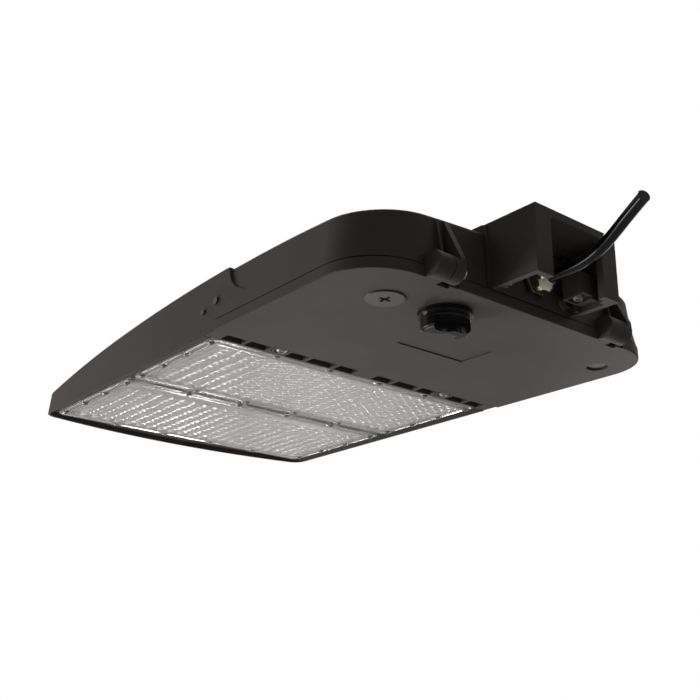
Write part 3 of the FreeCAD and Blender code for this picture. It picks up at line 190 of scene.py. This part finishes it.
def powder_coat(dark, light):
    """Dark bronze polyester powder coat on a die casting: satin, warm, with a faint orange peel
    about a millimetre and a half across, drawn a little coarser than it is."""
    return grained("powder_coat_bronze", dark, light, 1.5, 0.012, 0.50, 0.04, edge_mm=0.5,
                   **{"IOR": 1.5, "Specular IOR Level": 0.05})


def smooth_skin(name, tone, roughness, **shader):
    """A moulded plastic or rubber, or stoved enamel: even colour, with a slight waviness in its
    gloss about six millimetres across."""
    colour = linear(tone)
    return grained(name, colour, colour, 6.0, 0.006, roughness, 0.03, edge_mm=0.5,
                   **{"IOR": 1.55, **shader})


def cable_rubber():
    """Extruded black sheath with a polished skin: near black, with one thin bright line along it."""
    return grained("cable_rubber", linear("#0d0d0d"), linear("#121212"), 3.0, 0.004, 0.14, 0.02,
                   **{"IOR": 1.5, "Specular IOR Level": 0.12})


def machined(name, low, high, roughness):
    """Metal turned or rolled, then plated: tool marks half a millimetre apart soften its gloss."""
    return grained(name, linear(low), linear(high), 0.5, 0.004, roughness, 0.06, patch_mm=8,
                   edge_mm=0.25, **{"Metallic": 1.0})


def foam():
    """Closed-cell silicone foam: pale grey, matt, with pores under a millimetre."""
    return grained("silicone_foam", linear("#b4b4b1"), linear("#bebebb"), 0.8, 0.06, 0.9, 0.04)


def acrylic(name, clear, tone):
    """Injection-moulded acrylic with a slight haze: polished optics that bend the light of the
    board behind and veil it with a pale grey, over ripples two and a half millimetres across."""
    made, tree, out = blank_material(name)
    where = add_node(tree, "ShaderNodeTexCoord").outputs["Object"]
    ripple = add_node(tree, "ShaderNodeTexNoise", {"Scale": 1 / (2.5 * MM), "Detail": 1.0},
                      {"Vector": where})
    relief = add_node(tree, "ShaderNodeBump", {"Strength": 1.0, "Distance": 0.01 * MM},
                      {"Height": ripple.outputs["Fac"]})
    surface = add_node(tree, "ShaderNodeBsdfPrincipled",
                       {"Base Color": linear(tone), "Roughness": 0.07, "IOR": 1.49,
                        "Transmission Weight": clear},
                       {"Normal": relief.outputs["Normal"]})
    tree.links.new(surface.outputs["BSDF"], out.inputs["Surface"])
    return made


def solder_mask():
    """White solder mask on an aluminium-core board, a little uneven over nine millimetres; the
    emitters that stand below it are yellow phosphor."""
    made, tree, out = blank_material("white_solder_mask")
    where = add_node(tree, "ShaderNodeTexCoord").outputs["Object"]
    height = add_node(tree, "ShaderNodeSeparateXYZ", links={"Vector": where}).outputs["Z"]
    chip_level = spot(0, 0, SIZES["board_face"]).z - SIZES["chip_clear"] * MM
    is_chip = add_node(tree, "ShaderNodeMath", {1: chip_level}, {0: height}, operation="LESS_THAN")
    patches = add_node(tree, "ShaderNodeTexNoise", {"Scale": 1 / (9 * MM), "Detail": 2.0},
                       {"Vector": where})
    mask = two_tones(tree, patches.outputs["Fac"], linear("#b3b0ae"), linear("#bcb9b7"))
    colour = add_node(tree, "ShaderNodeMix", {7: linear("#d8b04a")}, {0: is_chip.outputs[0], 6: mask},
                      data_type="RGBA")
    surface = add_node(tree, "ShaderNodeBsdfPrincipled", {"Roughness": 0.45, "IOR": 1.5},
                       {"Base Color": colour.outputs[2]})
    tree.links.new(surface.outputs["BSDF"], out.inputs["Surface"])
    return made


def dress(nodes, material):
    """Give CAD nodes a finish and smooth their curved faces."""
    for name in nodes:
        thing = frame["nodes"][name]
        thing.data.materials.clear()
        thing.data.materials.append(material)
        thing.data.shade_smooth()
        thing.data.set_sharp_from_angle(angle=math.radians(28))


# ---------------------------------------------------------------- lens panels

def mesh_object(name, points, faces, material, body):
    """A mesh piece in the row frame that rides on a body."""
    data = bpy.data.meshes.new(name)
    data.from_pydata(points, [], faces)
    data.update()
    data.materials.append(material)
    data.shade_smooth()
    made = bpy.data.objects.new(name, data)
    bpy.context.scene.collection.objects.link(made)
    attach(made, body)
    return made


def grid_lines(low, high, cells, per_cell, pitch, middle):
    """Grid lines across a panel: close together on its rim and even over its optics."""
    start = middle - cells * pitch / 2
    inner = [start + pitch * step / per_cell for step in range(cells * per_cell + 1)]
    least = 0.3
    edge = [low + step for step in RIM_LINES if low + step < inner[0] - least]
    far = [high - step for step in reversed(RIM_LINES) if high - step > inner[-1] + least]
    return edge + inner + far


def rim_height(inset):
    """The underside of a panel at a distance in from its edge: rim, groove and step to the field."""
    face, field = SIZES["lens_face"], SIZES["field_face"]
    groove = face + SIZES["groove_depth"]
    marks = [(0, face + SIZES["edge_round"]), (0.5, face), (1.8, face), (2.5, groove), (5.8, groove),
             (6.6, face - 0.2), (7.6, field + 0.2), (8.6, field)]
    for (near, low), (far, high) in zip(marks, marks[1:]):
        if inset <= far:
            share = (inset - near) / (far - near)
            return low + (high - low) * share
    return field


def optic_bulge(across, along, rise):
    """The bulge of one optic at a place from its centre: an oval dome with a waist."""
    reach = (across / SIZES["optic_half_x"]) ** 2 + (along / SIZES["optic_half_y"]) ** 2
    if reach >= 1:
        return 0.0
    dome = (1 - reach) ** 0.7
    waist = 1 - 0.3 * math.exp(-(across / SIZES["waist_half"]) ** 2)
    return rise * dome * waist


def panel_height(x, y, inset, middle, pads, rise):
    """The underside of a panel at a place: its rim or field, the optic there, or a screw's pad."""
    height = rim_height(inset)
    pitch_x, pitch_y = SIZES["pitch_x"], SIZES["pitch_y"]
    field_x = SIZES["columns"] * pitch_x / 2
    field_y = SIZES["rows"] * pitch_y / 2
    if abs(x) <= field_x and abs(y - middle) <= field_y:
        across = (x + field_x) % pitch_x - pitch_x / 2
        along = (y - middle + field_y) % pitch_y - pitch_y / 2
        height -= optic_bulge(across, along, rise)
    for pad_x, pad_y in pads:
        reach = math.hypot(x - pad_x, y - pad_y)
        if reach < SIZES["pad_radius"] + SIZES["pad_edge"]:
            slope = max(0, reach - SIZES["pad_radius"]) * SIZES["pad_slope"]
            height = min(height, SIZES["lens_face"] + slope)
    return height


def rounded(x, y, low, high, half, corner):
    """Pull a grid's square corner into a round one."""
    edges = ((-half, half), (low, high))
    out = [x, y]
    dx = max(-half + corner - x, x - (half - corner), 0)
    dy = max(low + corner - y, y - (high - corner), 0)
    if dx > 0 and dy > 0:
        u, v = dx / corner, dy / corner
        pulled = (u * math.sqrt(1 - v * v / 2) * corner, v * math.sqrt(1 - u * u / 2) * corner)
        for axis, reach in enumerate(pulled):
            near, far = edges[axis]
            out[axis] = near + corner - reach if out[axis] < (near + far) / 2 else far - corner + reach
    return out


def tab_bulge(x, y, low, high, inset):
    """How far the panel's long edges bulge out beside a screw."""
    nearest = min(abs(x - screw) for screw in LONG_EDGE_SCREWS)
    if max(inset, min(y - low, high - y)) > SIZES["tab_depth"] or nearest > SIZES["tab_half"]:
        return 0.0
    bulge = SIZES["tab_reach"] * math.cos(nearest / SIZES["tab_half"] * math.pi / 2)
    return -bulge if y - low < high - y else bulge


def lens_screw_spots(side):
    """The panel's screws: four along each long edge and four along each short one."""
    low, high = PANELS[side]["y"]
    inset = SIZES["screw_inset"]
    places = [(x, y) for x in LONG_EDGE_SCREWS for y in (low + inset, high - inset)]
    half = SIZES["lens_half_width"] - inset
    places += [(x, high - (high - low) * share) for share in SHORT_EDGE_SHARES for x in (-half, half)]
    return places


def shell_faces(columns, rows):
    """Faces of a closed shell: an underside grid, a top grid after it, and the wall between."""
    count = columns * rows
    faces = []
    for row in range(rows - 1):
        for column in range(columns - 1):
            first = row * columns + column
            quad = (first, first + 1, first + columns + 1, first + columns)
            faces.append(quad[::-1])
            faces.append(tuple(corner + count for corner in quad))
    border = list(range(columns))
    border += [row * columns + columns - 1 for row in range(1, rows)]
    border += [(rows - 1) * columns + column for column in range(columns - 2, -1, -1)]
    border += [row * columns for row in range(rows - 2, 0, -1)]
    for here, after in zip(border, border[1:] + border[:1]):
        faces.append((here, after, after + count, here + count))
    return faces


def lens_panel(side, rim_material, optics_material, rise):
    """A moulded lens panel with its rim, screw pads and a dome under every emitter."""
    half = SIZES["lens_half_width"]
    low, high = PANELS[side]["y"]
    middle = PANELS[side]["middle"]
    xs = grid_lines(-half, half, SIZES["columns"], CELLS_ACROSS, SIZES["pitch_x"], 0.0)
    ys = grid_lines(low, high, SIZES["rows"], CELLS_ALONG, SIZES["pitch_y"], middle)
    pads = lens_screw_spots(side)
    under, over = [], []
    for y in ys:
        for x in xs:
            inset = min(x + half, half - x, y - low, high - y)
            wide, deep = rounded(x, y, low, high, half, SIZES["lens_corner"])
            deep += tab_bulge(x, deep, low, high, inset)
            under.append(spot(wide, deep, panel_height(x, y, inset, middle, pads, rise)))
            roof = SIZES["lens_top"] if inset < SIZES["rim_width"] else SIZES["field_inside"]
            over.append(spot(wide, deep, roof))
    made = mesh_object(f"lens_optics_{side}", under + over, shell_faces(len(xs), len(ys)), rim_material,
                       "housing")
    made.data.materials.append(optics_material)
    reach_x = (half - SIZES["rim_width"]) * MM
    reach_y = ((high - low) / 2 - SIZES["rim_width"]) * MM
    centre = spot(0, (low + high) / 2, 0)
    for face in made.data.polygons:
        across, along = face.center.x - centre.x, face.center.y - centre.y
        face.material_index = int(abs(across) < reach_x and abs(along) < reach_y)
    made.data.set_sharp_from_angle(angle=math.radians(50))
    made.visible_shadow = False
    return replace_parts(made, f"lens_{side}")


# ---------------------------------------------------------------- cable

def cable(material):
    """The free end of the supply cable, cut square."""
    points = [Vector(CABLE_START)]
    for step in CABLE_STEPS:
        points.append(points[-1] + Vector(step))
    data = bpy.data.curves.new("supply_cable_sheath", "CURVE")
    data.dimensions = "3D"
    line = data.splines.new("NURBS")
    line.points.add(len(points) - 1)
    for knot, point in zip(line.points, points):
        knot.co = (*spot(*point), 1.0)
    line.order_u = 3
    line.use_endpoint_u = True
    line.resolution_u = 10
    data.bevel_depth = CABLE_WIDTH / 2 * MM
    data.bevel_resolution = 10
    data.use_fill_caps = True
    data.materials.append(material)
    made = bpy.data.objects.new("supply_cable_sheath", data)
    bpy.context.scene.collection.objects.link(made)
    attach(made, "housing")
    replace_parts(made, "supply_cable")
    return made


# ---------------------------------------------------------------- stage

def camera():
    """The photograph's view: from below, behind and to one side."""
    azimuth, elevation, roll = (math.radians(value) for value in
                                (CAMERA_AZIMUTH, CAMERA_ELEVATION, CAMERA_ROLL))
    back = Vector((math.sin(azimuth) * math.cos(elevation), -math.cos(azimuth) * math.cos(elevation),
                   math.sin(elevation)))
    right = (-back).cross(Vector((0, 0, 1))).normalized()
    up = right.cross(-back)
    turned_right = math.cos(roll) * right + math.sin(roll) * up
    turned_up = -math.sin(roll) * right + math.cos(roll) * up
    data = bpy.data.cameras.new("studio_camera")
    data.lens = CAMERA_LENS
    data.sensor_width = SENSOR_WIDTH
    data.clip_end = 50
    made = bpy.data.objects.new("studio_camera", data)
    turn = Matrix((turned_right, turned_up, back)).transposed().to_4x4()
    made.matrix_world = Matrix.Translation(spot(*CAMERA_SPOT)) @ turn
    bpy.context.scene.collection.objects.link(made)
    bpy.context.scene.camera = made


def softbox(name, place, size, power):
    """A square studio lamp that faces the light fitting."""
    data = bpy.data.lights.new(name, "AREA")
    data.shape = "SQUARE"
    data.size = size
    data.energy = power
    made = bpy.data.objects.new(name, data)
    made.location = place
    made.rotation_euler = (Vector(LAMP_TARGET) - Vector(place)).to_track_quat("-Z", "Y").to_euler()
    made.visible_camera = False
    bpy.context.scene.collection.objects.link(made)


def world(ambient):
    """A white surround to the eye and to reflections, and a dim one for the light it gives."""
    made = bpy.data.worlds.new("studio_world")
    bpy.context.scene.world = made
    made.use_nodes = True
    tree = made.node_tree
    tree.nodes.clear()
    path = add_node(tree, "ShaderNodeLightPath")
    seen = path.outputs["Is Camera Ray"]
    for name in ("Is Glossy Ray", "Is Transmission Ray"):
        seen = add_node(tree, "ShaderNodeMath", links={0: seen, 1: path.outputs[name]},
                        operation="MAXIMUM").outputs[0]
    white = linear("#ffffff")
    dim = add_node(tree, "ShaderNodeBackground", {"Color": white, "Strength": ambient})
    bright = add_node(tree, "ShaderNodeBackground", {"Color": white, "Strength": 1.0})
    both = add_node(tree, "ShaderNodeMixShader",
                    links={"Fac": seen, 1: dim.outputs[0], 2: bright.outputs[0]})
    out = add_node(tree, "ShaderNodeOutputWorld")
    tree.links.new(both.outputs[0], out.inputs["Surface"])


def floor():
    """A pale floor well below the fitting, as under a pole."""
    material = grained("studio_floor", linear("#f1f1ef"), linear("#f5f5f3"), 40, 0.01, 0.9, 0.02)
    corners = [(x * FLOOR_HALF, y * FLOOR_HALF, FLOOR_LEVEL) for x, y in ((-1, -1), (1, -1), (1, 1), (-1, 1))]
    data = bpy.data.meshes.new("studio_floor")
    data.from_pydata(corners, [], [(0, 1, 2, 3)])
    data.materials.append(material)
    made = bpy.data.objects.new("studio_floor", data)
    bpy.context.scene.collection.objects.link(made)


# ---------------------------------------------------------------- add-on

class AreaLightSettings(bpy.types.PropertyGroup):
    """Sizes, colours and lamp powers that a user would change."""
    coat_dark: bpy.props.FloatVectorProperty(
        name="Coat, darker tone", description="Darker tone of the bronze powder coat", size=4,
        subtype="COLOR", default=linear("#464240"), min=0.0, max=1.0)
    coat_light: bpy.props.FloatVectorProperty(
        name="Coat, lighter tone", description="Lighter tone of the bronze powder coat", size=4,
        subtype="COLOR", default=linear("#4b4745"), min=0.0, max=1.0)
    optic_rise: bpy.props.FloatProperty(
        name="Optic rise", description="How far each optic stands below the lens panel",
        default=1.6 * MM, min=0.0, max=3.0 * MM, unit="LENGTH", precision=4)
    ambient: bpy.props.FloatProperty(
        name="Ambient light", description="Strength of the light from all round", default=0.10,
        min=0.0, max=2.0)
    key_power: bpy.props.FloatProperty(
        name="Key lamp", description="Power of the large lamp below the nose", default=37.0, min=0.0,
        unit="POWER")
    glint_power: bpy.props.FloatProperty(
        name="Glint lamp", description="Power of the small lamp that sparkles in the optics", default=3.4,
        min=0.0, unit="POWER")
    far_power: bpy.props.FloatProperty(
        name="Far lamp", description="Power of the lamp on the far side that glances off the door",
        default=3.0, min=0.0, unit="POWER")
    top_power: bpy.props.FloatProperty(
        name="Top lamp", description="Power of the lamp above the fitting", default=30.0, min=0.0,
        unit="POWER")


class AREALIGHT_OT_stage(bpy.types.Operator):
    """Set the floor, lamps and camera"""
    bl_idname = "arealight.stage"
    bl_label = "Studio"

    def execute(self, context):
        settings = context.scene.area_light
        context.scene.view_settings.view_transform = "Standard"
        world(settings.ambient)
        floor()
        for name, (place, size) in LAMPS.items():
            softbox(f"{name}_lamp", place, size, getattr(settings, f"{name}_power"))
        camera()
        return {"FINISHED"}


class AREALIGHT_OT_cable(bpy.types.Operator):
    """Run the supply cable"""
    bl_idname = "arealight.cable"
    bl_label = "Supply cable"

    def execute(self, context):
        cable(cable_rubber())
        return {"FINISHED"}


class AREALIGHT_OT_castings(bpy.types.Operator):
    """Coat the housing, the arm and the door"""
    bl_idname = "arealight.castings"
    bl_label = "Castings"

    def execute(self, context):
        settings = context.scene.area_light
        dress(["housing", "arm", "door"], powder_coat(settings.coat_dark, settings.coat_light))
        return {"FINISHED"}


class AREALIGHT_OT_seals(bpy.types.Operator):
    """Finish the foam gaskets and the rubber seals"""
    bl_idname = "arealight.seals"
    bl_label = "Gaskets and seals"

    def execute(self, context):
        dress(["lens_gasket_front", "lens_gasket_rear"], foam())
        dress(["door_gasket", "arm_gasket", "sensor_gasket", "gland_seal", "plug_oring"],
              smooth_skin("seal_rubber", "#141414", 0.6))
        return {"FINISHED"}


class AREALIGHT_OT_fasteners(bpy.types.Operator):
    """Finish the screws, bolts, washers, pins and clips"""
    bl_idname = "arealight.fasteners"
    bl_label = "Fasteners"

    def execute(self, context):
        dress(["driver_screws", "arm_bolts", "arm_washers", "pin_clips", "hinge_pins"],
              machined("stainless_steel", "#8d8a86", "#9b9894", 0.32))
        dress(["lens_screws", "board_screws", "captive_screw_near", "captive_screw_far"],
              machined("passivated_steel", "#787572", "#888582", 0.36))
        dress(["shield_screws"], machined("blackened_steel", "#3f3d3b", "#4c4947", 0.35))
        dress(["earth_screw"], machined("zinc_plate", "#6e6a5c", "#7d796c", 0.42))
        return {"FINISHED"}


class AREALIGHT_OT_gland(bpy.types.Operator):
    """Finish the cable gland"""
    bl_idname = "arealight.gland"
    bl_label = "Cable gland"

    def execute(self, context):
        dress(["gland_body", "gland_nut", "gland_locknut"],
              machined("nickel_plate", "#c2bcae", "#d2ccbe", 0.16))
        return {"FINISHED"}


class AREALIGHT_OT_electrics(bpy.types.Operator):
    """Finish the driver, the boards and what is beside them"""
    bl_idname = "arealight.electrics"
    bl_label = "Driver and boards"

    def execute(self, context):
        dress(["led_driver"], smooth_skin("driver_enamel", "#bdbdbb", 0.5))
        dress(["terminal_block", "power_knob", "colour_knob"], smooth_skin("white_nylon", "#d7d6d2", 0.5))
        dress(["surge_protector", "socket_nut", "captive_ring_near", "captive_ring_far"],
              smooth_skin("black_nylon", "#1c1c1c", 0.5))
        dress(["led_board_front", "led_board_rear"], solder_mask())
        return {"FINISHED"}


class AREALIGHT_OT_fittings(bpy.types.Operator):
    """Finish the plastic fittings in the door"""
    bl_idname = "arealight.fittings"
    bl_label = "Door fittings"

    def execute(self, context):
        dress(["sensor_socket", "twist_cap"],
              smooth_skin("black_polycarbonate", "#161616", 0.14, **{"Specular IOR Level": 0.28}))
        dress(["cross_plug", "breather_plug", "selector_switch"],
              smooth_skin("satin_nylon", "#2f2c29", 0.42, **{"Specular IOR Level": 0.22}))
        return {"FINISHED"}


class AREALIGHT_OT_lenses(bpy.types.Operator):
    """Mould the two lens panels"""
    bl_idname = "arealight.lenses"
    bl_label = "Lens panels"

    def execute(self, context):
        rim = acrylic("clear_acrylic", 0.82, "#c8c7c6")
        optics = acrylic("diffusing_acrylic", 0.7, "#c9c7c6")
        rise = context.scene.area_light.optic_rise / MM
        for side in PANELS:
            lens_panel(side, rim, optics, rise)
        return {"FINISHED"}


class AREALIGHT_PT_panel(bpy.types.Panel):
    """Lists the pieces in the 3D view's sidebar"""
    bl_idname = "AREALIGHT_PT_panel"
    bl_label = "Area light"
    bl_space_type = "VIEW_3D"
    bl_region_type = "UI"
    bl_category = "Area light"

    def draw(self, context):
        for name in AreaLightSettings.__annotations__:
            self.layout.prop(context.scene.area_light, name)
        for kind in OPERATORS:
            self.layout.operator(kind.bl_idname)


OPERATORS = (
    AREALIGHT_OT_stage, AREALIGHT_OT_cable, AREALIGHT_OT_castings, AREALIGHT_OT_seals,
    AREALIGHT_OT_fasteners, AREALIGHT_OT_gland, AREALIGHT_OT_electrics, AREALIGHT_OT_fittings,
    AREALIGHT_OT_lenses,
)
CLASSES = (AreaLightSettings, *OPERATORS, AREALIGHT_PT_panel)


def register():
    for kind in CLASSES:
        bpy.utils.register_class(kind)
    bpy.types.Scene.area_light = bpy.props.PointerProperty(type=AreaLightSettings)


def unregister():
    del bpy.types.Scene.area_light
    for kind in reversed(CLASSES):
        bpy.utils.unregister_class(kind)


def main():
    register()
    for kind in OPERATORS:
        group, name = kind.bl_idname.split(".")
        getattr(getattr(bpy.ops, group), name)()


if __name__ == "__main__":
    main()
